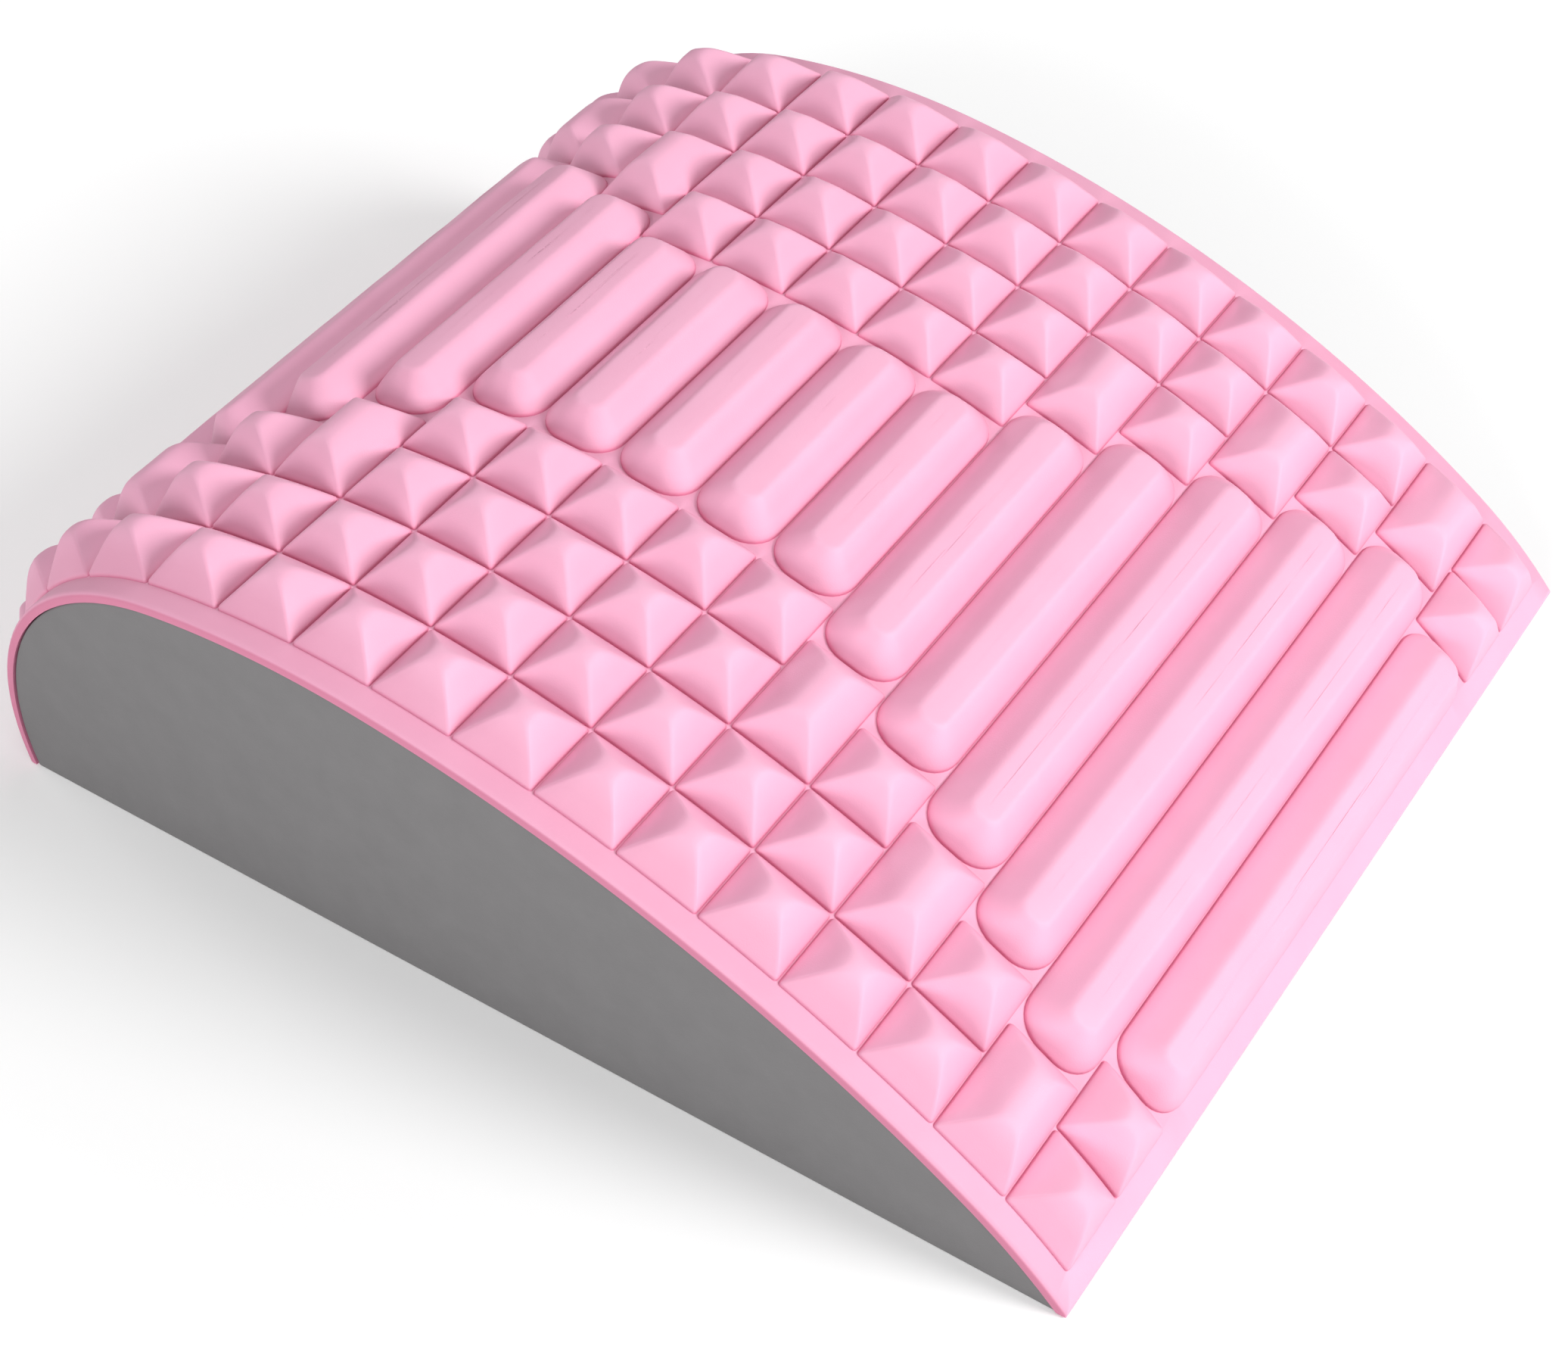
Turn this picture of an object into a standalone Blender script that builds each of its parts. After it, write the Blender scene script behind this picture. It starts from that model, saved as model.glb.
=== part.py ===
"""Back stretcher pillow: a moulded massage cover bonded over an arched foam core.

The cover is drawn flat, the way it is moulded. u runs along the sheet from its thin
end, v runs across it, and w is the height above the sheet's plain face. The sheet is
then wrapped round a side profile of four tangent arcs, which the core follows too.
The pillow stands with +X towards its thin end, +Y across it and +Z up.
"""

import math

import bmesh
import bpy
from mathutils import Vector

MM = 0.001

# Overall
WIDTH = 290.0 * MM
CROWN_HEIGHT = 99.0 * MM  # the cover's plain face at the crown, above the floor

# Side profile of the cover's plain face, arc by arc from the thin end to the nose
TIP_RADIUS = 142.5 * MM
TIP_ARC_TOP = 26.5 * MM  # height at which the tip arc meets the back slope
SLOPE_RADIUS = 377.5 * MM
CROWN_RADIUS = 234.0 * MM
CROWN_BACK_ANGLE = math.radians(7.6)
CROWN_NOSE_ANGLE = math.radians(8.9)
NOSE_RADIUS = 83.0 * MM

# Cover sheet
COVER_THICKNESS = 3.0 * MM  # without the relief
TRIM_HEIGHT = 0.5 * MM  # the cover's two ends are trimmed this far above the floor
TIP_LAND = 1.5 * MM  # height of the blunt face at the thin end
RIM_ROUND = 0.8 * MM  # softened edge along the sides and the nose end

# Core
BOND_GAP = 0.3 * MM  # glue line between the core and the cover
CORE_SIDE_INSET = 0.5 * MM  # the cut sides of the core stand back from the cover's rim

# Massage pattern: a grid of rows and columns parted by grooves
ROW_PITCH = 24.4 * MM
COLUMN_PITCH = 24.05 * MM
SIDE_COLUMNS = 4  # columns of pyramids beside the shortest ribs
GROOVE = 0.6 * MM
SIDE_MARGIN = 7.2 * MM  # plain strip from the rim to the outer pyramids
TIP_MARGIN = 6.2 * MM  # plain strip before the first row
NOSE_MARGIN = 1.0 * MM  # least plain strip after the last row
# How many half columns each row's rib gains on either side over the shortest ones
RIB_STEPS = (4, 5, 4, 3, 2, 1, 0, 0, 0, 0, 0, 1, 2, 3, 4, 5, 4)
WIDE_HALVES = 3  # half columns in the wide pyramid that takes up an odd half

# Relief
FOOT_HEIGHT = 0.8 * MM  # the steep foot that every rib and pyramid stands on
TOP_ROUND = 0.3  # how far the rounding of a top reaches, as a share of the half width
PYRAMID_HEIGHT = 10.4 * MM
PYRAMID_SWELL = 1.5  # 1 is a plain pyramid, more is fuller
PYRAMID_RINGS = (0.0, 0.03, 0.35, 0.72, 0.93)  # shares of the way in from the foot
RIB_HEIGHT = 10.4 * MM
RIB_SWELL = 2.0
RIB_RINGS = (0.0, 0.03, 0.15, 0.38, 0.68, 0.95)
RIB_CORNER_RADIUS = 9.5 * MM
RIB_CORNER_STEPS = 3

PINK = (0.84, 0.42, 0.58, 1.0)
GREY = (0.2, 0.195, 0.197, 1.0)


class Arc:
    """An arc of the side profile. Angles turn from +Z towards +X, so they fall
    from the thin end to the nose, and the normal at an angle points away from
    the arc's centre."""

    def __init__(self, centre, radius):
        self.centre = centre
        self.radius = radius
        self.start = 0.0
        self.end = 0.0

    def point(self, angle, w=0.0):
        reach = self.radius + w
        return Vector((self.centre.x + reach * math.sin(angle), self.centre.y + reach * math.cos(angle)))

    def angle_at_height(self, z, w=0.0):
        return math.acos((z - self.centre.y) / (self.radius + w))

    def length(self):
        return self.radius * (self.start - self.end)


def next_arc(point, angle, radius):
    """An arc that leaves a point of the profile without a kink."""
    return Arc(point - radius * Vector((math.sin(angle), math.cos(angle))), radius)


def make_profile():
    """The four arcs from the thin end to the nose, in the XZ plane."""
    crown = Arc(Vector((0.0, CROWN_HEIGHT - CROWN_RADIUS)), CROWN_RADIUS)
    crown.start = CROWN_BACK_ANGLE
    crown.end = -CROWN_NOSE_ANGLE
    slope = next_arc(crown.point(crown.start), crown.start, SLOPE_RADIUS)
    slope.end = crown.start
    slope.start = slope.angle_at_height(TIP_ARC_TOP)
    tip = next_arc(slope.point(slope.start), slope.start, TIP_RADIUS)
    tip.end = slope.start
    tip.start = tip.angle_at_height(TRIM_HEIGHT + TIP_LAND)
    nose = next_arc(crown.point(crown.end), crown.end, NOSE_RADIUS)
    nose.start = crown.end
    nose.end = -nose.angle_at_height(TRIM_HEIGHT + RIM_ROUND)
    return [tip, slope, crown, nose]


PROFILE = make_profile()
SHEET_LENGTH = sum(arc.length() for arc in PROFILE)


def wrap(u, w):
    """The profile's point at length u along the sheet and height w above it."""
    for arc in PROFILE:
        if u <= arc.length() or arc is PROFILE[-1]:
            return arc.point(arc.start - u / arc.radius, w)
        u -= arc.length()


def on_pillow(u, v, w):
    """A point of the flat sheet, wrapped round the pillow."""
    place = wrap(u, w)
    return Vector((place.x, v, place.y))


def row_count():
    """The rows that the sheet has room for, up to the pattern's own number."""
    room = SHEET_LENGTH - TIP_MARGIN - NOSE_MARGIN
    return min(len(RIB_STEPS), int(room / ROW_PITCH))


def sheet_stations():
    """Lengths at which the sheet's outline has a point: its ends, and the edges
    and the middle of every row."""
    rows = [TIP_MARGIN + i * ROW_PITCH / 2 for i in range(2 * row_count() + 1)]
    return [0.0] + rows + [SHEET_LENGTH]


def column_lines(steps):
    """The pattern lines across one side of a row, from the outer one to the rib,
    for a rib that is some half columns longer than the shortest."""
    outer = WIDTH / 2 - SIDE_MARGIN + GROOVE / 2
    halves = 2 * SIDE_COLUMNS - steps
    whole = halves // 2
    if halves % 2:
        whole = (halves - WIDE_HALVES) // 2
    lines = [outer - i * COLUMN_PITCH for i in range(whole + 1)]
    if halves % 2:
        lines.append(lines[-1] - WIDE_HALVES * COLUMN_PITCH / 2)
    return lines


def rectangle(middle, half_u, half_v):
    """A pyramid's outline: its corners, and the middles of the sides that bend
    with the sheet."""
    u, v = middle
    return [
        (u - half_u, v - half_v),
        (u, v - half_v),
        (u + half_u, v - half_v),
        (u + half_u, v + half_v),
        (u, v + half_v),
        (u - half_u, v + half_v),
    ]


def rounded_rectangle(middle, half_u, half_v, radius):
    """A rib's outline: a rectangle with round corners."""
    u, v = middle
    corners = [(-1, -1), (1, -1), (1, 1), (-1, 1)]
    points = []
    for turn, (side_u, side_v) in enumerate(corners):
        corner_u = u + side_u * (half_u - radius)
        corner_v = v + side_v * (half_v - radius)
        for i in range(RIB_CORNER_STEPS + 1):
            angle = math.pi + (turn + i / RIB_CORNER_STEPS) * math.pi / 2
            points.append((corner_u + radius * math.cos(angle), corner_v + radius * math.sin(angle)))
    return points


def rise(share, swell):
    """The share of its height that a flank has reached, this far in from the foot."""
    drops = [((1 - s) ** 2 + TOP_ROUND**2) ** (swell / 2) for s in (0.0, share, 1.0)]
    return (drops[0] - drops[1]) / (drops[0] - drops[2])


def relief(bm, outline, half_u, half_v, rings, height, swell):
    """One raised cell. outline gives its points for a half length and a half
    width. Each ring is drawn in from the foot by its share of the narrower half
    and raised along a swelling curve, and a small cap closes the top. Returns
    the edges of the foot."""
    narrow = min(half_u, half_v)
    loops = []
    for share in rings:
        inset = share * narrow
        lift = FOOT_HEIGHT + (height - FOOT_HEIGHT) * rise(share, swell) if share else 0.0
        points = outline(half_u - inset, half_v - inset)
        loops.append([bm.verts.new((u, v, lift)) for u, v in points])
    for low, high in zip(loops, loops[1:]):
        for i in range(len(low)):
            j = (i + 1) % len(low)
            bm.faces.new((low[i], low[j], high[j], high[i]))
    bm.faces.new(loops[-1])
    foot = loops[0]
    return [bm.edges.get((foot[i - 1], foot[i])) for i in range(len(foot))]


def add_pyramid(bm, middle, half_u, half_v):
    return relief(
        bm,
        lambda a, b: rectangle(middle, a, b),
        half_u,
        half_v,
        PYRAMID_RINGS,
        PYRAMID_HEIGHT,
        PYRAMID_SWELL,
    )


def add_rib(bm, middle, half_u, half_v):
    roundness = RIB_CORNER_RADIUS / half_u
    return relief(
        bm,
        lambda a, b: rounded_rectangle(middle, a, b, roundness * a),
        half_u,
        half_v,
        RIB_RINGS,
        RIB_HEIGHT,
        RIB_SWELL,
    )


def add_row(bm, row):
    """The rib and the pyramids of one row. Returns the edges of their feet."""
    feet = []
    half_u = (ROW_PITCH - GROOVE) / 2
    middle_u = TIP_MARGIN + (row + 0.5) * ROW_PITCH
    lines = column_lines(RIB_STEPS[row])
    feet += add_rib(bm, (middle_u, 0.0), half_u, lines[-1] - GROOVE / 2)
    for outer, inner in zip(lines, lines[1:]):
        middle_v = (outer + inner) / 2
        half_v = (outer - inner - GROOVE) / 2
        feet += add_pyramid(bm, (middle_u, middle_v), half_u, half_v)
        feet += add_pyramid(bm, (middle_u, -middle_v), half_u, half_v)
    return feet


def add_outline(bm, stations):
    """The edge of the sheet's plain face. Returns its points in order: down the
    near side from the thin end, and back along the far side."""
    side = WIDTH / 2 - RIM_ROUND
    near = [bm.verts.new((u, -side, 0.0)) for u in stations]
    far = [bm.verts.new((u, side, 0.0)) for u in reversed(stations)]
    loop = near + far
    for i in range(len(loop)):
        bm.edges.new((loop[i - 1], loop[i]))
    return loop


def add_loop(bm, upper, places):
    """Joins a loop of points to a new one below it."""
    lower = [bm.verts.new(place) for place in places]
    for i in range(len(upper)):
        bm.faces.new((upper[i - 1], upper[i], lower[i], lower[i - 1]))
    return lower


def rim_places(stations):
    """Where the softened rim meets the cover's edge, in the order of the outline."""
    tip, nose = PROFILE[0], PROFILE[-1]
    tip_end = tip.point(tip.start)
    nose_end = nose.point(nose.end)
    half = []
    for u in stations:
        half.append(on_pillow(u, 0.0, -RIM_ROUND))
    half[0] = Vector((tip_end.x, 0.0, TRIM_HEIGHT))
    half[-1] = Vector((nose_end.x + RIM_ROUND, 0.0, TRIM_HEIGHT))
    return both_sides(half, WIDTH / 2)


def back_places(stations):
    """The back of the cover, in the order of the outline."""
    tip, nose = PROFILE[0], PROFILE[-1]
    tip_end = tip.point(tip.angle_at_height(TRIM_HEIGHT, -COVER_THICKNESS), -COVER_THICKNESS)
    nose_end = nose.point(-nose.angle_at_height(TRIM_HEIGHT, -COVER_THICKNESS), -COVER_THICKNESS)
    half = []
    for u in stations:
        half.append(on_pillow(u, 0.0, -COVER_THICKNESS))
    half[0] = Vector((tip_end.x, 0.0, TRIM_HEIGHT))
    half[-1] = Vector((nose_end.x, 0.0, TRIM_HEIGHT))
    return both_sides(half, WIDTH / 2)


def both_sides(half, side):
    """A profile at the near side, and back again at the far side."""
    near = [Vector((p.x, -side, p.z)) for p in half]
    far = [Vector((p.x, side, p.z)) for p in reversed(half)]
    return near + far


def close_back(bm, loop):
    """Strips across the back of the cover, from one side to the other."""
    count = len(loop)
    for i in range(count // 2 - 1):
        bm.faces.new((loop[i], loop[i + 1], loop[count - 2 - i], loop[count - 1 - i]))


def make_cover():
    """The moulded cover: rows of relief on a sheet that wraps the core."""
    stations = sheet_stations()
    bm = bmesh.new()
    outline = add_outline(bm, stations)
    edges = [bm.edges.get((outline[i - 1], outline[i])) for i in range(len(outline))]
    for row in range(row_count()):
        edges += add_row(bm, row)
    bmesh.ops.triangle_fill(bm, edges=edges, use_beauty=True, normal=(0.0, 0.0, 1.0))
    for vert in bm.verts:
        vert.co = on_pillow(*vert.co)
    rim = add_loop(bm, outline, rim_places(stations))
    back = add_loop(bm, rim, back_places(stations))
    close_back(bm, back)
    bmesh.ops.recalc_face_normals(bm, faces=bm.faces)
    return bm


def make_core():
    """The arched core: the profile inside the cover, cut off flat at the floor
    and extruded across the pillow."""
    depth = -(COVER_THICKNESS + BOND_GAP)
    tip, nose = PROFILE[0], PROFILE[-1]
    section = [wrap(u, depth) for u in sheet_stations()[1:-1]]
    section.insert(0, tip.point(tip.angle_at_height(0.0, depth), depth))
    section.append(nose.point(-nose.angle_at_height(0.0, depth), depth))
    side = WIDTH / 2 - CORE_SIDE_INSET
    bm = bmesh.new()
    verts = [bm.verts.new((p.x, -side, p.y)) for p in section]
    face = bm.faces.new(verts)
    swept = bmesh.ops.extrude_face_region(bm, geom=[face])["geom"]
    moved = [item for item in swept if isinstance(item, bmesh.types.BMVert)]
    bmesh.ops.translate(bm, verts=moved, vec=(0.0, 2 * side, 0.0))
    bmesh.ops.recalc_face_normals(bm, faces=bm.faces)
    return bm


def make_material(name, color, roughness):
    material = bpy.data.materials.new(name)
    material.use_nodes = True
    shader = material.node_tree.nodes["Principled BSDF"]
    shader.inputs["Base Color"].default_value = color
    shader.inputs["Roughness"].default_value = roughness
    shader.inputs["Metallic"].default_value = 0.0
    return material


def add_object(name, bm, material, sharp_angle, parent):
    mesh = bpy.data.meshes.new(name)
    bm.to_mesh(mesh)
    bm.free()
    mesh.shade_smooth()
    mesh.set_sharp_from_angle(angle=sharp_angle)
    mesh.materials.append(material)
    piece = bpy.data.objects.new(name, mesh)
    bpy.context.scene.collection.objects.link(piece)
    piece.parent = parent
    return piece


def main():
    for old in list(bpy.data.objects):
        bpy.data.objects.remove(old)
    pillow = bpy.data.objects.new("pillow", None)
    bpy.context.scene.collection.objects.link(pillow)
    cover_foam = make_material("massage_cover_foam", PINK, 0.6)
    core_foam = make_material("core_foam", GREY, 0.85)
    cover = add_object("massage_cover", make_cover(), cover_foam, math.radians(30), pillow)
    add_object("foam_core", make_core(), core_foam, math.radians(40), pillow)
    reach = [vert.co.x for vert in cover.data.vertices]
    pillow.location.x = -(min(reach) + max(reach)) / 2


main()
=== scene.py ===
"""Looks for the back stretcher pillow: a moulded massage cover on a cut foam core.

The cover is modelled flat, the way it is moulded, with u along the sheet from its thin
end, v across it and w above its plain face. Then it is wrapped round the side profile,
which is four tangent arcs, and its ends are trimmed just above the floor.
"""

import math

import bpy
from mathutils import Euler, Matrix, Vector, noise


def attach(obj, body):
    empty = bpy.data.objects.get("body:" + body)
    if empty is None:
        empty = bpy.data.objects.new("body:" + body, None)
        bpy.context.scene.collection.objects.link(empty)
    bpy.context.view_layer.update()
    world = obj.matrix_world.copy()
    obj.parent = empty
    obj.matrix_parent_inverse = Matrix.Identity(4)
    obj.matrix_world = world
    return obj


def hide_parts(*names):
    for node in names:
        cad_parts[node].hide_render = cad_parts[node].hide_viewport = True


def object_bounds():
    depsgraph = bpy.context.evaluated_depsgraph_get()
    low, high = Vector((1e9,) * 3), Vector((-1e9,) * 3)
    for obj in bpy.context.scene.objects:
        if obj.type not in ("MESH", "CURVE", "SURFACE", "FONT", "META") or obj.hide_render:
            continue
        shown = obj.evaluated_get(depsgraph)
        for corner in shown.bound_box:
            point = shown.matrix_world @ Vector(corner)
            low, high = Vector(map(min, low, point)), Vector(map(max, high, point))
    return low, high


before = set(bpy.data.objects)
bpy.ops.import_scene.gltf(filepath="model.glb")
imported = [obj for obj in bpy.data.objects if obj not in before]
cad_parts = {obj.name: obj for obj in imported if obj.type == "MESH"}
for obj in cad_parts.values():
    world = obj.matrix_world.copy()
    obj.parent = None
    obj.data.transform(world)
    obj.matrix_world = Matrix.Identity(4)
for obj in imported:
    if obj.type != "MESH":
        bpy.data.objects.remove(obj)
cad_low, cad_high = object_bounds()

MM = 0.001
NEAR = 0.01 * MM  # a point this close to a plane counts as on it
HAIR = 0.001 * MM  # points this close to each other count as one

# Overall sizes, the same as the solids'
WIDTH = 290.0 * MM
CROWN_HEIGHT = 99.0 * MM  # of the cover's plain face
TIP_RADIUS = 142.5 * MM
TIP_ARC_TOP = 26.5 * MM  # height where the arc of the thin end meets the slope
SLOPE_RADIUS = 377.5 * MM
CROWN_RADIUS = 234.0 * MM
CROWN_BACK_ANGLE = math.radians(7.6)
CROWN_NOSE_ANGLE = math.radians(8.9)
NOSE_RADIUS = 83.0 * MM
COVER_THICKNESS = 3.0 * MM
TRIM_HEIGHT = 0.5 * MM  # the cover's ends stop this far above the floor
TIP_LAND = 1.5 * MM  # height of the upright end face at the thin end
RIM_ROUND = 0.8 * MM  # the nose's arc ends this far above the trim
BOND_GAP = 0.3 * MM  # the glue line between cover and core
CORE_SIDE_INSET = 0.5 * MM

# Massage pattern
ROW_PITCH = 24.4 * MM
COLUMN_PITCH = 24.05 * MM
SIDE_COLUMNS = 4
GROOVE = 0.6 * MM
SIDE_MARGIN = 7.2 * MM
TIP_MARGIN = 6.2 * MM
WIDE_HALVES = 3  # half columns that a wide pyramid takes up
RELIEF = 10.4 * MM  # full height of the relief, for its unevenness and its painted shade
# How many half columns the rib of each row reaches out past the shortest one
RIB_REACHES = (4, 5, 4, 3, 2, 1, 0, 0, 0, 0, 0, 1, 2, 3, 4, 5, 4)

# Section of a raised cell: a low steep foot, a flat flank and a blunt domed top
FOOT_HEIGHT = 0.8 * MM
FOOT_RUN = 0.06 * MM
APRON = 0.25 * MM  # a flat ring round each foot, which bounds the painted shade of the groove
APRON_DROP = 0.02 * MM
FLANK_SLOPE = 1.05
SHOULDER_ROUND = 1.0 * MM  # how far the flank is rounded off below the shoulder
# Insets of the stacked rings from the edge of the foot, in millimetres
FOOT_RINGS = (0.0, 0.05, 0.15, 0.4)
FLANK_RINGS = (1.0, 2.5, 4.0, 5.3, 6.2, 6.8)
TOP_RINGS = (7.2, 7.6, 8.0, 8.4, 8.9, 9.5, 10.2, 10.8, 11.3, 11.6)
RING_INSETS = [inset * MM for inset in FOOT_RINGS + FLANK_RINGS + TOP_RINGS]
MOST_ROUND = 0.92  # no ring's corners take up more of its half width

PYRAMID_TOP = (10.1 * MM, 8.5 * MM)  # height of the top and the radius it is domed with
PYRAMID_CORNER = 0.9 * MM
RIDGE_SOFTENING = 0.15  # how much rounder a pyramid's ridges are near its top
PYRAMID_RING_STEPS = (4, 5, 5)  # of each corner, each end and each side of a ring
RIB_TOP = (9.0 * MM, 60.0 * MM)
RIB_CORNER = 9.5 * MM
RIB_RING_STEPS = (8, 2, 16)

# Unevenness of the moulded relief
UNEVENNESS = 0.3 * MM
UNEVEN_LENGTH = 14.0 * MM

# Edges of the sheet and the core
LIP_ROUND = 1.5 * MM
LIP_STEPS = 4
BORDER_CUTS = 107  # points that each border edge is cut into, for the bend
OVERHANG = 8.0 * MM  # extra sheet at both ends, which the trim takes off
COVER_SHARP = math.radians(38)  # edges turn sharp above this angle
CORE_SECTION_STEPS = 120
CORE_END_CLEAR = 1.0 * MM  # the arch has no points of its own lower than this
CORE_BEVEL = 0.5 * MM
CORE_BEVEL_STEPS = 3
CORE_BAND = 0.5 * MM  # a flat band along the cut edges, so that the faces look flat
CORE_SHARP = math.radians(30)

# How far each point of the cover takes a painted shade: a redder colour that stands in for the shade in
# the grooves, on the cut edge, on the side margins and low in the valleys
GROOVE_REACH = 0.8 * MM  # height over which the painted shade of the groove fades out
GROUND_SHADE = 0.12  # share of the painted groove shade on the flat ground between the cells
SIDE_SHADE = 0.27  # share of the painted shade on the side margins and the flanks above them
# the lip's cut edge takes the full painted shade
CUT_EDGE_SHADE = 1.0
CUT_EDGE_TOP = -0.5 * LIP_ROUND  # the lip counts as cut edge below this
VALLEY_DEPTH = 3.2 * MM  # height over which the painted valley shade fades out

# Finishes
COVER_PINK = (0.875, 0.443, 0.605, 1.0)
COVER_PINK_MOTTLE = (0.865, 0.423, 0.585, 1.0)
COVER_PORES = 2600.0  # per metre
COVER_MOTTLES = 60.0  # per metre
COVER_PORE_DEPTH = 0.1 * MM
COVER_ROUGHNESS = 0.6
# painted shade: a deep red that stands in for the shade in the grooves, on the cut edge and on the side
# margins
PAINTED_SHADE_RED = (0.60, 0.15, 0.27, 1.0)
PAINTED_SHADE_STRENGTH = 0.8
# painted shade: a redder pink that stands in for the shade and red bounced light low in the valleys
VALLEY_PAINTED_SHADE = (0.86, 0.34, 0.49, 1.0)
CORE_GREY = (0.203, 0.197, 0.2, 1.0)
CORE_GREY_MOTTLE = (0.19, 0.184, 0.187, 1.0)
CORE_PORES = 1500.0
CORE_MOTTLES = 90.0
CORE_PORE_DEPTH = 0.25 * MM
CORE_ROUGHNESS = 0.9
FOAM_SPECULAR = 0.5
PORE_BUMP = 0.35  # strength of the pores' relief
WHITE = (1.0, 1.0, 1.0, 1.0)

# Studio
FLOOR_SIZE = 40.0
FLOOR_GREY = (0.8, 0.8, 0.8, 1.0)
FLOOR_ROUGHNESS = 0.9
FLOOR_SPECULAR = 0.1
# The floor glows more away from the pillow, so that it stays pale behind it, and more
# again where the lamps no longer reach it. Each ramp: its start, its end and both glows.
FLOOR_GLOW = (0.15, 0.5, 0.15, 0.45)
HORIZON_GLOW = (0.8, 1.8, 0.0, 0.5)
SKY_STRENGTH = 0.03
LIGHT_DISTANCE = 2.0
# Name, azimuth and elevation in degrees, diameter in metres and power in watts
LIGHTS = (
    ("key", 12.0, 32.0, 0.85, 32.5),
    ("front", 273.0, 25.0, 0.85, 17.0),
    ("top", 315.0, 62.0, 1.0, 10.0),
    ("back", 103.0, 31.0, 1.6, 10.0),
    ("rear", 180.0, 30.0, 0.8, 6.5),
)
LENS = 63.01  # focal length in millimetres
SENSOR_WIDTH = 36.0
CAMERA_PLACE = (0.3797, -0.4605, 0.5646)  # from the floor below the crown
CAMERA_TURN = (0.7813, 0.0280, 0.5850)


# The side profile


class Arc:
    """An arc of the side profile. Angles turn from +Z towards +X."""

    def __init__(self, centre, radius):
        self.centre = centre
        self.radius = radius
        self.start = 0.0
        self.end = 0.0

    def point(self, angle, w=0.0):
        reach = self.radius + w
        return Vector((self.centre.x + reach * math.sin(angle), self.centre.y + reach * math.cos(angle)))

    def angle_at_height(self, z, w=0.0):
        return math.acos((z - self.centre.y) / (self.radius + w))

    def length(self):
        return self.radius * (self.start - self.end)


def next_arc(point, angle, radius):
    """An arc that goes on from another one at a point, tangent to it."""
    return Arc(point - radius * Vector((math.sin(angle), math.cos(angle))), radius)


def make_profile():
    """The four arcs from the thin end to the nose, in the XZ plane, with the crown's
    highest point above the origin."""
    crown = Arc(Vector((0.0, CROWN_HEIGHT - CROWN_RADIUS)), CROWN_RADIUS)
    crown.start = CROWN_BACK_ANGLE
    crown.end = -CROWN_NOSE_ANGLE
    slope = next_arc(crown.point(crown.start), crown.start, SLOPE_RADIUS)
    slope.end = crown.start
    slope.start = slope.angle_at_height(TIP_ARC_TOP)
    tip = next_arc(slope.point(slope.start), slope.start, TIP_RADIUS)
    tip.end = slope.start
    tip.start = tip.angle_at_height(TRIM_HEIGHT + TIP_LAND)
    nose = next_arc(crown.point(crown.end), crown.end, NOSE_RADIUS)
    nose.start = crown.end
    nose.end = -nose.angle_at_height(TRIM_HEIGHT + RIM_ROUND)
    return [tip, slope, crown, nose]


PROFILE = make_profile()
SHEET_LENGTH = sum(arc.length() for arc in PROFILE)
TIP_END = PROFILE[0].point(PROFILE[0].start)
CROWN_X = cad_high.x - TIP_END.x  # the crown's place in the frame
THIN_END_X = TIP_END.x + CROWN_X


def wrap(u, w):
    """The profile's point at length u along the sheet and height w above it."""
    for arc in PROFILE:
        if u <= arc.length() or arc is PROFILE[-1]:
            return arc.point(arc.start - u / arc.radius, w) + Vector((CROWN_X, 0.0))
        u -= arc.length()


# Small modelling helpers


def only(*pieces):
    """Selects these pieces and nothing else; the first is the active one."""
    bpy.ops.object.select_all(action="DESELECT")
    for piece in pieces:
        piece.select_set(True)
    bpy.context.view_layer.objects.active = pieces[0]


def start_piece(name):
    """Names the primitive that was added last."""
    piece = bpy.context.active_object
    piece.name = name
    piece.data.name = name
    return piece


def select_where(piece, test):
    """In object mode, selects the points that pass a test and the edges between them."""
    mesh = piece.data
    for item in list(mesh.vertices) + list(mesh.edges) + list(mesh.polygons):
        item.select = False
    for vert in mesh.vertices:
        vert.select = test(vert.co)
    for edge in mesh.edges:
        edge.select = all(mesh.vertices[i].select for i in edge.vertices)


def select_open_edges():
    """In edit mode, selects the edges that have fewer than two faces."""
    bpy.ops.mesh.select_mode(type="EDGE")
    bpy.ops.mesh.select_all(action="DESELECT")
    bpy.ops.mesh.select_non_manifold(
        extend=False,
        use_wire=True,
        use_boundary=True,
        use_multi_face=False,
        use_non_contiguous=False,
        use_verts=False,
    )


def leave_edit_mode():
    bpy.ops.mesh.select_mode(type="VERT")
    bpy.ops.object.mode_set(mode="OBJECT")


def place_points(piece, places):
    flat = [value for place in places for value in place]
    piece.data.vertices.foreach_set("co", flat)
    piece.data.update()


def move_points(piece, rule):
    """Moves each point to where a rule puts it."""
    place_points(piece, [rule(*vert.co) for vert in piece.data.vertices])


def turn_faces_out():
    """Makes all faces of the active piece point outwards."""
    bpy.ops.object.mode_set(mode="EDIT")
    bpy.ops.mesh.select_all(action="SELECT")
    bpy.ops.mesh.normals_make_consistent(inside=False)
    bpy.ops.object.mode_set(mode="OBJECT")


# The raised cells


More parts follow.
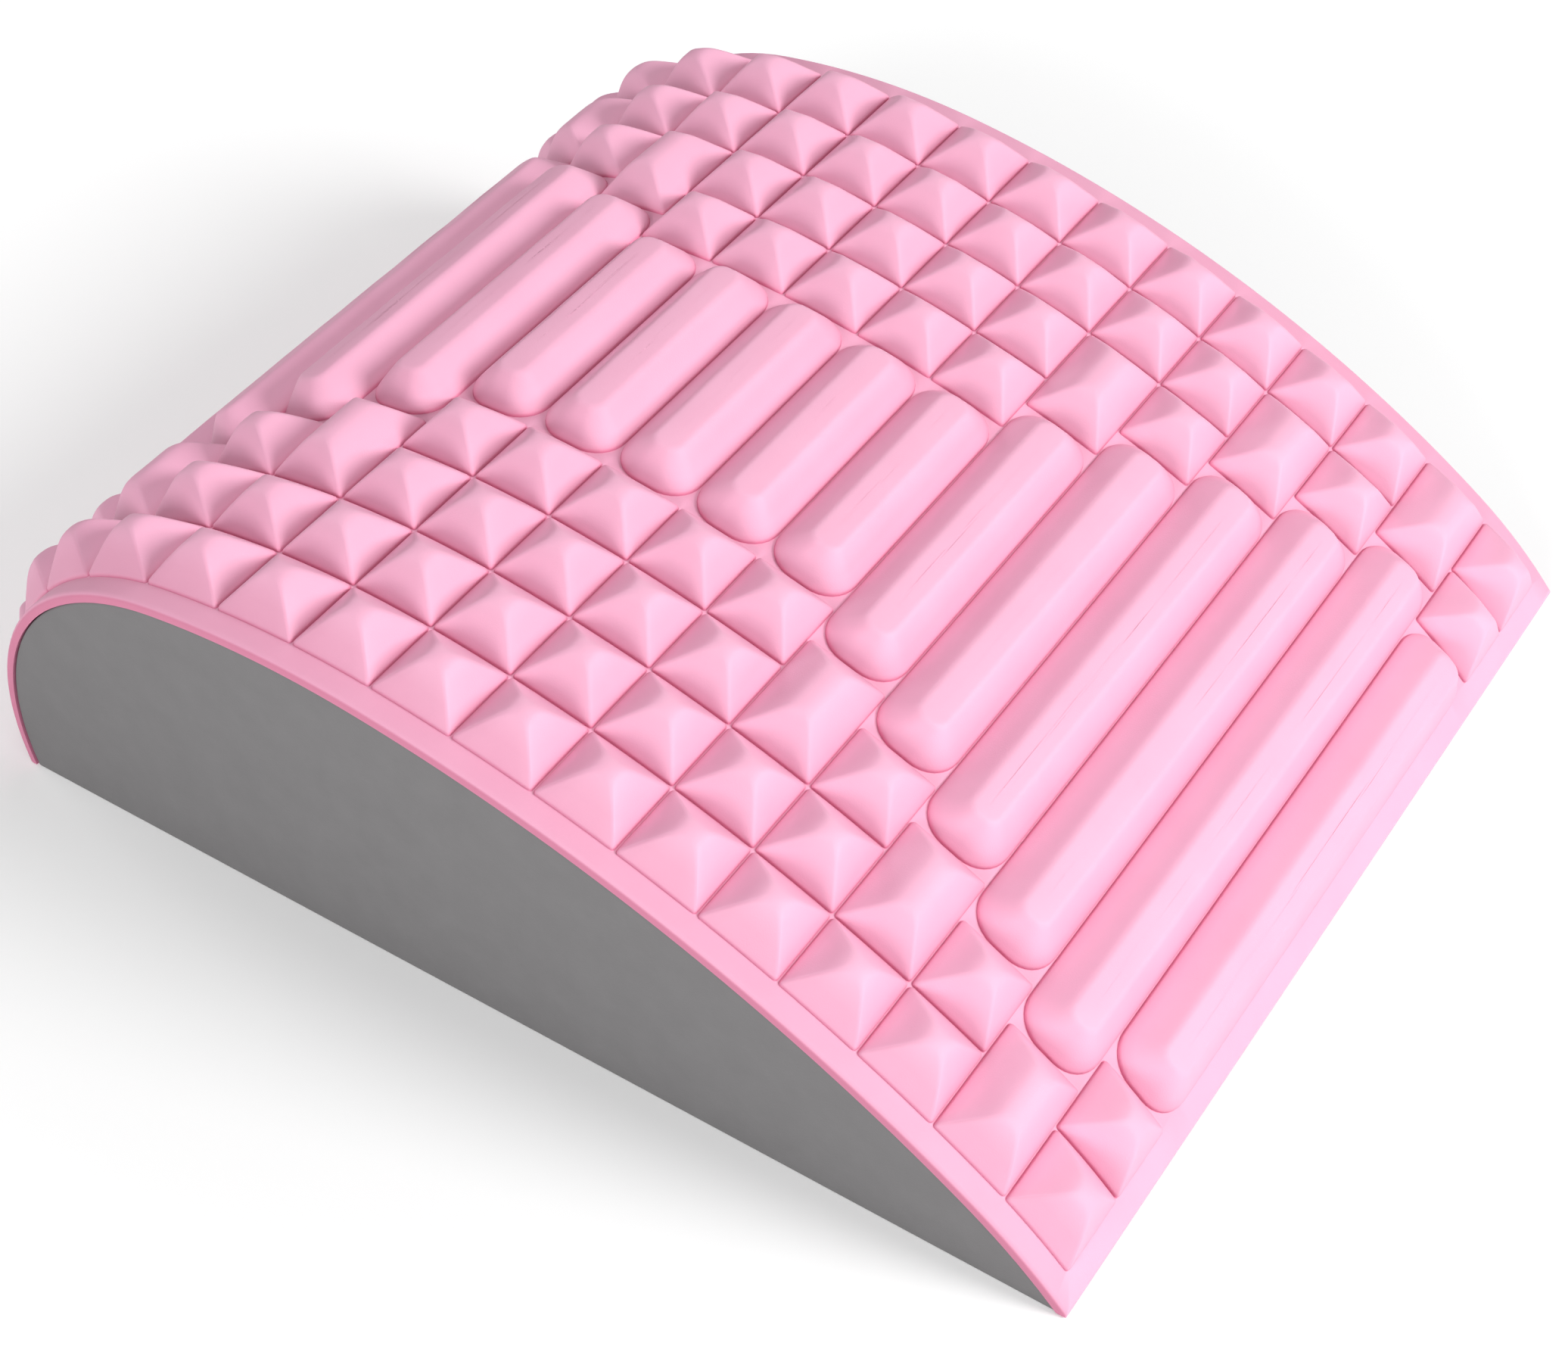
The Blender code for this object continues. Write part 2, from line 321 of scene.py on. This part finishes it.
def ring_outline(half_u, half_v, radius, corner_steps, end_steps, side_steps):
    """A closed outline of a rectangle with round corners, the same number of points
    whatever its size, so that rings of it can be stacked."""
    points = []
    corners = ((1, -1, side_steps), (1, 1, end_steps), (-1, 1, side_steps), (-1, -1, end_steps))
    straight = [2 * (half_v - radius), 2 * (half_u - radius)] * 2
    for turn, (side_u, side_v, steps) in enumerate(corners):
        centre_u = side_u * (half_u - radius)
        centre_v = side_v * (half_v - radius)
        for i in range(corner_steps + 1):
            angle = (turn - 1 + i / corner_steps) * math.pi / 2
            points.append((centre_u + radius * math.cos(angle), centre_v + radius * math.sin(angle)))
        along = turn * math.pi / 2 + math.pi / 2
        u, v = points[-1]
        for i in range(1, steps):
            reach = straight[turn] * i / steps
            points.append((u + reach * math.cos(along), v + reach * math.sin(along)))
    return points


def cell_height(inset, narrow, top):
    """The height of a cell this far in from its foot: a flat flank, then a domed top."""
    height, dome = top
    flank = FLANK_SLOPE * inset
    cap = height - FOOT_HEIGHT - APRON_DROP - (narrow - inset) ** 2 / (2 * dome)
    overlap = max(0.0, SHOULDER_ROUND - abs(flank - cap))
    return max(0.0, min(flank, cap) - overlap**2 / (4 * SHOULDER_ROUND))


def ring_height(inset, narrow, top):
    """The height of a ring above the sheet. The apron lies a little under the sheet."""
    if inset < 0.0:
        return -APRON_DROP
    foot = APRON_DROP + FOOT_HEIGHT * (1 - math.exp(-inset / FOOT_RUN))
    return foot + cell_height(inset, narrow, top)


def corner_radius(inset, narrow, corner, softening):
    """How round a ring's corners are. A rib's round ends shrink evenly with its rings,
    while a pyramid's ridges get softer towards its top."""
    share = inset / narrow
    if softening:
        radius = corner + softening * (narrow - corner) * share**4
    else:
        radius = corner * (1 - share)
    return min(radius, MOST_ROUND * (narrow - inset))


def raised_cell(name, half_u, half_v, corner, steps, top, softening):
    """One cell of the relief, as a stack of rings from its foot to its top."""
    narrow = min(half_u, half_v)
    rings = []
    for inset in [-APRON] + RING_INSETS:
        height = ring_height(inset, narrow, top)
        radius = corner_radius(inset, narrow, corner, softening)
        outline = ring_outline(half_u - inset, half_v - inset, radius, *steps)
        rings.append([(u, v, height) for u, v in outline])
    around = len(rings[0])
    bpy.ops.mesh.primitive_grid_add(x_subdivisions=around, y_subdivisions=len(rings) - 1, size=1.0)
    cell = start_piece(name)
    place_points(cell, [ring[i % around] for ring in rings for i in range(around + 1)])
    bpy.ops.object.mode_set(mode="EDIT")
    bpy.ops.mesh.select_all(action="SELECT")
    bpy.ops.mesh.remove_doubles(threshold=HAIR)
    bpy.ops.object.mode_set(mode="OBJECT")
    last = rings[-1][0][2] - HAIR
    select_where(cell, lambda co: co.z > last)
    bpy.ops.object.mode_set(mode="EDIT")
    bpy.ops.mesh.edge_face_add()
    bpy.ops.object.mode_set(mode="OBJECT")
    return cell


def make_rib(half_u, half_v):
    return raised_cell("rib", half_u, half_v, RIB_CORNER, RIB_RING_STEPS, RIB_TOP, 0.0)


def make_pyramid(half_u, half_v):
    steps = PYRAMID_RING_STEPS
    return raised_cell("pyramid", half_u, half_v, PYRAMID_CORNER, steps, PYRAMID_TOP, RIDGE_SOFTENING)


def column_lines(reach):
    """The pattern lines across one side of a row, from the outer one to the rib."""
    outer = WIDTH / 2 - SIDE_MARGIN + GROOVE / 2
    halves = 2 * SIDE_COLUMNS - reach
    whole = halves // 2
    if halves % 2:
        whole = (halves - WIDE_HALVES) // 2
    lines = [outer - i * COLUMN_PITCH for i in range(whole + 1)]
    if halves % 2:
        lines.append(lines[-1] - WIDE_HALVES * COLUMN_PITCH / 2)
    return lines


def copy_to(cell, u, v):
    """A copy of a cell, with its own mesh, at its place on the flat sheet."""
    copy = cell.copy()
    copy.data = cell.data.copy()
    copy.location = (u, v, 0.0)
    bpy.context.scene.collection.objects.link(copy)
    return copy


def lay_out_cells():
    """Models each kind of cell once and copies it over the sheet, row by row."""
    half_u = (ROW_PITCH - GROOVE) / 2
    patterns = {}
    cells = []
    for row, reach in enumerate(RIB_REACHES):
        u = TIP_MARGIN + (row + 0.5) * ROW_PITCH
        lines = column_lines(reach)
        if reach not in patterns:
            patterns[reach] = make_rib(half_u, lines[-1] - GROOVE / 2)
        cells.append(copy_to(patterns[reach], u, 0.0))
        for outer, inner in zip(lines, lines[1:]):
            middle = (outer + inner) / 2
            half_v = (outer - inner - GROOVE) / 2
            size = round(half_v / MM, 3)
            if size not in patterns:
                patterns[size] = make_pyramid(half_u, half_v)
            cells.append(copy_to(patterns[size], u, middle))
            cells.append(copy_to(patterns[size], u, -middle))
    for pattern in patterns.values():
        bpy.data.objects.remove(pattern)
    return cells


# The sheet


def add_border():
    """The edge of the flat sheet, with some overhang at both ends."""
    length = SHEET_LENGTH + 2 * OVERHANG
    bpy.ops.mesh.primitive_plane_add(size=1.0, location=(SHEET_LENGTH / 2, 0.0, 0.0))
    border = start_piece("massage_cover_foam")
    border.scale = (length, WIDTH - 2 * LIP_ROUND, 1.0)
    bpy.ops.object.transform_apply(location=True, rotation=False, scale=True)
    bpy.ops.object.mode_set(mode="EDIT")
    bpy.ops.mesh.select_all(action="SELECT")
    bpy.ops.mesh.delete(type="ONLY_FACE")
    bpy.ops.mesh.select_all(action="SELECT")
    bpy.ops.mesh.subdivide(number_cuts=BORDER_CUTS)
    bpy.ops.object.mode_set(mode="OBJECT")
    return border


def fill_sheet():
    """Fills the flat between the border and the feet of the cells."""
    bpy.ops.object.mode_set(mode="EDIT")
    select_open_edges()
    bpy.ops.mesh.fill(use_beauty=True)
    leave_edit_mode()


def turn_lip_down(sheet):
    """Rolls the border over a soft edge and down to the back of the sheet."""
    side = WIDTH / 2 - LIP_ROUND
    end = SHEET_LENGTH / 2 + OVERHANG
    turns = [i / LIP_STEPS * math.pi / 2 for i in range(1, LIP_STEPS + 1)]
    rings = [(LIP_ROUND * math.sin(turn), LIP_ROUND * (1 - math.cos(turn))) for turn in turns]
    rings.append((LIP_ROUND, COVER_THICKNESS))
    grown = 0.0
    depth = 0.0
    bpy.ops.object.mode_set(mode="EDIT")
    select_open_edges()
    bpy.context.scene.tool_settings.transform_pivot_point = "BOUNDING_BOX_CENTER"
    for out, down in rings:
        bpy.ops.mesh.extrude_edges_move()
        bpy.ops.transform.resize(value=((end + out) / (end + grown), (side + out) / (side + grown), 1.0))
        bpy.ops.transform.translate(value=(0.0, 0.0, depth - down))
        grown, depth = out, down
    leave_edit_mode()
    low = -COVER_THICKNESS + NEAR
    select_where(sheet, lambda co: co.z < low and abs(co.y) > WIDTH / 2 - NEAR)
    bpy.ops.object.mode_set(mode="EDIT")
    bpy.ops.mesh.bridge_edge_loops()
    bpy.ops.object.mode_set(mode="OBJECT")


def from_row_line(u):
    """How far a place along the sheet lies from the nearest line between two rows."""
    reach = (u - TIP_MARGIN) % ROW_PITCH
    return min(reach, ROW_PITCH - reach)


def faces_side(u, v):
    """Whether a point of the relief lies on a flank above a side margin."""
    return WIDTH / 2 - SIDE_MARGIN - abs(v) < from_row_line(u)


def ground_shade(u, v):
    """The painted groove shade on the flat: faint between the cells, more on the side margins, none at
    the thin end.
    """
    if abs(v) > WIDTH / 2 - SIDE_MARGIN + APRON / 2:
        return SIDE_SHADE
    return 0.0 if u < TIP_MARGIN + (GROOVE - APRON) / 2 else GROUND_SHADE


def groove_shade(u, v, w):
    """How far a point has the painted shade of the grooves, from 0 to 1."""
    if w < CUT_EDGE_TOP:
        return CUT_EDGE_SHADE
    if w < APRON_DROP / 2:
        return ground_shade(u, v)
    beside = SIDE_SHADE * min(1.0, 2 - 2 * w / RELIEF) if faces_side(u, v) else 0.0
    return max(math.exp(-w / GROOVE_REACH), beside)


def valley_shade(u, v, w):
    """How much painted shade a point takes low between two cells, from 0 to 1: it stands in for the
    shade there, where light comes only by way of the foam round it. Flanks that face a margin are open
    to the light."""
    faces_margin = faces_side(u, v) or u - TIP_MARGIN < min(w, RELIEF)
    if w < APRON_DROP / 2 or faces_margin:
        return 0.0
    return max(0.0, 1 - w / VALLEY_DEPTH) ** 2


def store_shade(sheet, name, shade):
    """Stores a painted shade for each point of the flat sheet, for the material."""
    attribute = sheet.data.attributes.new(name, "FLOAT", "POINT")
    attribute.data.foreach_set("value", [shade(*vert.co) for vert in sheet.data.vertices])


def unsettled(u, v, w):
    """A point of the flat sheet, with the unevenness of foam out of a mould."""
    if w > 0.0:
        share = min(1.0, w / RELIEF)
        w += share * UNEVENNESS * noise.noise(Vector((u, v, 0.0)) / UNEVEN_LENGTH)
    return u, v, w


def wrapped(u, v, w):
    """The place of a point of the flat sheet on the finished cover."""
    place = wrap(u, w)
    return place.x, v, place.y


def trim(place, normal):
    """Cuts off what lies beyond a plane and closes the cut."""
    bpy.ops.object.mode_set(mode="EDIT")
    bpy.ops.mesh.select_all(action="SELECT")
    bpy.ops.mesh.bisect(plane_co=place, plane_no=normal, clear_outer=True, threshold=HAIR)
    select_open_edges()
    bpy.ops.mesh.edge_face_add()
    leave_edit_mode()


def clear_thin_end(sheet):
    """Takes the cut edge's painted shade off the end face, which is lit and as pale as the top."""
    groove = sheet.data.attributes["groove"].data
    for vert in sheet.data.vertices:
        if vert.co.x > THIN_END_X - NEAR:
            groove[vert.index].value = 0.0


def make_cover():
    """The sheet with its relief, modelled flat, shaded, wrapped and trimmed."""
    cells = lay_out_cells()
    sheet = add_border()
    only(sheet, *cells)
    bpy.ops.object.join()
    fill_sheet()
    turn_lip_down(sheet)
    # painted shade for the grooves, ground, side margins and cut edge, and for the valleys
    store_shade(sheet, "groove", groove_shade)
    store_shade(sheet, "valley", valley_shade)
    move_points(sheet, unsettled)
    move_points(sheet, wrapped)
    trim((THIN_END_X, 0.0, 0.0), (1.0, 0.0, 0.0))
    trim((0.0, 0.0, TRIM_HEIGHT), (0.0, 0.0, -1.0))
    clear_thin_end(sheet)
    turn_faces_out()
    only(sheet)
    bpy.ops.object.shade_smooth_by_angle(angle=COVER_SHARP)
    bpy.ops.object.transform_apply(location=True, rotation=True, scale=True)
    return sheet


# The core


def core_section():
    """Points of the core's side face, from the floor at the thin end over the arch."""
    depth = -(COVER_THICKNESS + BOND_GAP)
    tip, nose = PROFILE[0], PROFILE[-1]
    first = tip.point(tip.angle_at_height(0.0, depth), depth) + Vector((CROWN_X, 0.0))
    last = nose.point(-nose.angle_at_height(0.0, depth), depth) + Vector((CROWN_X, 0.0))
    steps = range(1, CORE_SECTION_STEPS)
    arch = [wrap(SHEET_LENGTH * i / CORE_SECTION_STEPS, depth) for i in steps]
    return [first] + [place for place in arch if place.y > CORE_END_CLEAR] + [last]


def make_core():
    """The arched block under the cover, cut flat at the floor and at both sides."""
    section = core_section()
    side = WIDTH / 2 - CORE_SIDE_INSET
    bpy.ops.object.select_all(action="DESELECT")
    bpy.ops.mesh.primitive_circle_add(vertices=len(section), radius=1.0, fill_type="NGON")
    core = start_piece("core_foam")
    place_points(core, [(place.x, -side, place.y) for place in section])
    bpy.ops.object.mode_set(mode="EDIT")
    bpy.ops.mesh.select_all(action="SELECT")
    bpy.ops.mesh.extrude_region_move(TRANSFORM_OT_translate={"value": (0.0, 2 * side, 0.0)})
    bpy.ops.object.mode_set(mode="OBJECT")
    turn_faces_out()
    bevel = core.modifiers.new("cut edges", "BEVEL")
    bevel.width = CORE_BEVEL
    bevel.segments = CORE_BEVEL_STEPS
    bevel.limit_method = "ANGLE"
    bevel.angle_limit = CORE_SHARP
    bpy.ops.object.modifier_apply(modifier="cut edges")
    select_where(core, lambda co: abs(co.y) > side - NEAR or co.z < NEAR)
    bpy.ops.object.mode_set(mode="EDIT")
    bpy.ops.mesh.inset(thickness=CORE_BAND, depth=0.0, use_individual=True)
    bpy.ops.object.mode_set(mode="OBJECT")
    bpy.ops.object.shade_smooth_by_angle(angle=CORE_SHARP)
    return core


# Materials


def add_node(tree, kind, values=(), **settings):
    """A shader node with its settings and with values on its sockets by name."""
    node = tree.nodes.new(kind)
    for label, value in settings.items():
        setattr(node, label, value)
    for label, value in dict(values).items():
        node.inputs[label].default_value = value
    return node


def new_material(name):
    material = bpy.data.materials.new(name)
    material.use_nodes = True
    return material, material.node_tree, material.node_tree.nodes["Principled BSDF"]


def foam_skin_group():
    """Fine closed pores and a faint unevenness, for any foam."""
    group = bpy.data.node_groups.new("foam_skin", "ShaderNodeTree")
    for label, side, kind in (
        ("Vector", "INPUT", "NodeSocketVector"),
        ("Pore Scale", "INPUT", "NodeSocketFloat"),
        ("Mottle Scale", "INPUT", "NodeSocketFloat"),
        ("Pores", "OUTPUT", "NodeSocketFloat"),
        ("Mottle", "OUTPUT", "NodeSocketFloat"),
    ):
        group.interface.new_socket(name=label, in_out=side, socket_type=kind)
    given = group.nodes.new("NodeGroupInput")
    result = group.nodes.new("NodeGroupOutput")
    pores = add_node(group, "ShaderNodeTexVoronoi", feature="F1")
    grain = add_node(group, "ShaderNodeTexNoise", {"Detail": 3.0, "Roughness": 0.6})
    mottle = add_node(group, "ShaderNodeTexNoise", {"Detail": 4.0, "Roughness": 0.55})
    mix = add_node(group, "ShaderNodeMath", operation="MULTIPLY")
    link = group.links.new
    for texture, scale in ((pores, "Pore Scale"), (grain, "Pore Scale"), (mottle, "Mottle Scale")):
        link(given.outputs["Vector"], texture.inputs["Vector"])
        link(given.outputs[scale], texture.inputs["Scale"])
    link(pores.outputs["Distance"], mix.inputs[0])
    link(grain.outputs["Fac"], mix.inputs[1])
    link(mix.outputs["Value"], result.inputs["Pores"])
    link(mottle.outputs["Fac"], result.inputs["Mottle"])


def mixed_colour(tree, share, base, other):
    """The socket of a colour that goes from a base to another one by a share's socket.
    The base is a colour, or a socket that gives one."""
    mix = add_node(tree, "ShaderNodeMix", data_type="RGBA")
    mix.inputs["B"].default_value = other
    if isinstance(base, tuple):
        mix.inputs["A"].default_value = base
    else:
        tree.links.new(base, mix.inputs["A"])
    tree.links.new(share, mix.inputs["Factor"])
    return mix.outputs["Result"]


def add_foam_skin(tree, shader, pores, mottles, pore_depth):
    """Gives a shader the pores of a foam. Returns the socket of its mottle."""
    place = tree.nodes.new("ShaderNodeTexCoord")
    skin = tree.nodes.new("ShaderNodeGroup")
    skin.node_tree = bpy.data.node_groups["foam_skin"]
    skin.inputs["Pore Scale"].default_value = pores
    skin.inputs["Mottle Scale"].default_value = mottles
    spread = add_node(tree, "ShaderNodeMapRange", {"From Min": 0.3, "From Max": 0.7})
    bump = add_node(tree, "ShaderNodeBump", {"Distance": pore_depth, "Strength": PORE_BUMP})
    link = tree.links.new
    link(place.outputs["Object"], skin.inputs["Vector"])
    link(skin.outputs["Mottle"], spread.inputs["Value"])
    link(skin.outputs["Pores"], bump.inputs["Height"])
    link(bump.outputs["Normal"], shader.inputs["Normal"])
    return spread.outputs["Result"]


def cover_material():
    """Pink moulded foam, with painted shade: redder in the grooves, on the cut edge, on the side margins
    and low in the valleys.
    """
    material, tree, shader = new_material("massage_cover_foam")
    shader.inputs["Roughness"].default_value = COVER_ROUGHNESS
    shader.inputs["Specular IOR Level"].default_value = FOAM_SPECULAR
    mottle = add_foam_skin(tree, shader, COVER_PORES, COVER_MOTTLES, COVER_PORE_DEPTH)
    groove = add_node(tree, "ShaderNodeAttribute", attribute_name="groove")
    valley = add_node(tree, "ShaderNodeAttribute", attribute_name="valley")
    strength = add_node(tree, "ShaderNodeMath", operation="MULTIPLY")
    strength.inputs[1].default_value = PAINTED_SHADE_STRENGTH
    tree.links.new(groove.outputs["Fac"], strength.inputs[0])
    pink = mixed_colour(tree, mottle, COVER_PINK_MOTTLE, COVER_PINK)
    # painted shade: the valleys, then the grooves, cut edge and side margins take redder colours
    valley_shaded = mixed_colour(tree, valley.outputs["Fac"], pink, VALLEY_PAINTED_SHADE)
    groove_shaded = mixed_colour(tree, strength.outputs["Value"], valley_shaded, PAINTED_SHADE_RED)
    tree.links.new(groove_shaded, shader.inputs["Base Color"])
    return material


def core_material():
    """Grey cut foam, matt and even."""
    material, tree, shader = new_material("core_foam")
    shader.inputs["Roughness"].default_value = CORE_ROUGHNESS
    shader.inputs["Specular IOR Level"].default_value = FOAM_SPECULAR
    mottle = add_foam_skin(tree, shader, CORE_PORES, CORE_MOTTLES, CORE_PORE_DEPTH)
    grey = mixed_colour(tree, mottle, CORE_GREY_MOTTLE, CORE_GREY)
    tree.links.new(grey, shader.inputs["Base Color"])
    return material


def glow_ramp(tree, distance, ramp):
    """The socket of a glow that changes with the distance from the pillow."""
    start, end, near_glow, far_glow = ramp
    values = {"From Min": start, "From Max": end, "To Min": near_glow, "To Max": far_glow}
    node = add_node(tree, "ShaderNodeMapRange", values)
    tree.links.new(distance, node.inputs["Value"])
    return node.outputs["Result"]


def floor_material():
    material, tree, shader = new_material("studio_floor")
    shader.inputs["Base Color"].default_value = FLOOR_GREY
    shader.inputs["Roughness"].default_value = FLOOR_ROUGHNESS
    shader.inputs["Specular IOR Level"].default_value = FLOOR_SPECULAR
    shader.inputs["Emission Color"].default_value = WHITE
    place = tree.nodes.new("ShaderNodeTexCoord")
    distance = add_node(tree, "ShaderNodeVectorMath", operation="LENGTH")
    both = add_node(tree, "ShaderNodeMath", operation="ADD")
    tree.links.new(place.outputs["Object"], distance.inputs[0])
    tree.links.new(glow_ramp(tree, distance.outputs["Value"], FLOOR_GLOW), both.inputs[0])
    tree.links.new(glow_ramp(tree, distance.outputs["Value"], HORIZON_GLOW), both.inputs[1])
    tree.links.new(both.outputs["Value"], shader.inputs["Emission Strength"])
    return material


# Studio


def add_light(name, azimuth, elevation, size, power):
    """A round soft light, turned to the pillow. Azimuth turns from +X towards +Y."""
    lamp = bpy.data.lights.new(name, "AREA")
    lamp.shape = "DISK"
    lamp.size = size
    lamp.energy = power
    light = bpy.data.objects.new(name, lamp)
    bpy.context.scene.collection.objects.link(light)
    towards = Vector((1.0, 0.0, 0.0))
    towards.rotate(Euler((0.0, -math.radians(elevation), math.radians(azimuth)), "XYZ"))
    light.location = LIGHT_DISTANCE * towards
    light.rotation_euler = towards.to_track_quat("Z", "Y").to_euler()


def make_studio():
    """A pale floor, a faint white sky and the soft lights."""
    bpy.ops.mesh.primitive_plane_add(size=FLOOR_SIZE, location=(0.0, 0.0, 0.0))
    floor = start_piece("studio_floor")
    floor.data.materials.append(floor_material())
    world = bpy.data.worlds.new("studio")
    bpy.context.scene.world = world
    world.use_nodes = True
    background = world.node_tree.nodes["Background"]
    background.inputs["Color"].default_value = WHITE
    background.inputs["Strength"].default_value = SKY_STRENGTH
    for light in LIGHTS:
        add_light(*light)


def make_camera():
    lens = bpy.data.cameras.new("camera")
    lens.lens = LENS
    lens.sensor_width = SENSOR_WIDTH
    camera = bpy.data.objects.new("camera", lens)
    bpy.context.scene.collection.objects.link(camera)
    x, y, z = CAMERA_PLACE
    camera.location = (CROWN_X + x, y, z)
    camera.rotation_euler = Euler(CAMERA_TURN, "XYZ")
    bpy.context.scene.camera = camera


bpy.ops.object.select_all(action="DESELECT")
foam_skin_group()

cover = make_cover()
cover.data.materials.clear()
cover.data.materials.append(cover_material())
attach(cover, "root")
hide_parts("massage_cover")

core = make_core()
core.data.materials.clear()
core.data.materials.append(core_material())
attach(core, "root")
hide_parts("foam_core")

make_studio()
make_camera()
bpy.context.scene.view_settings.view_transform = "Standard"
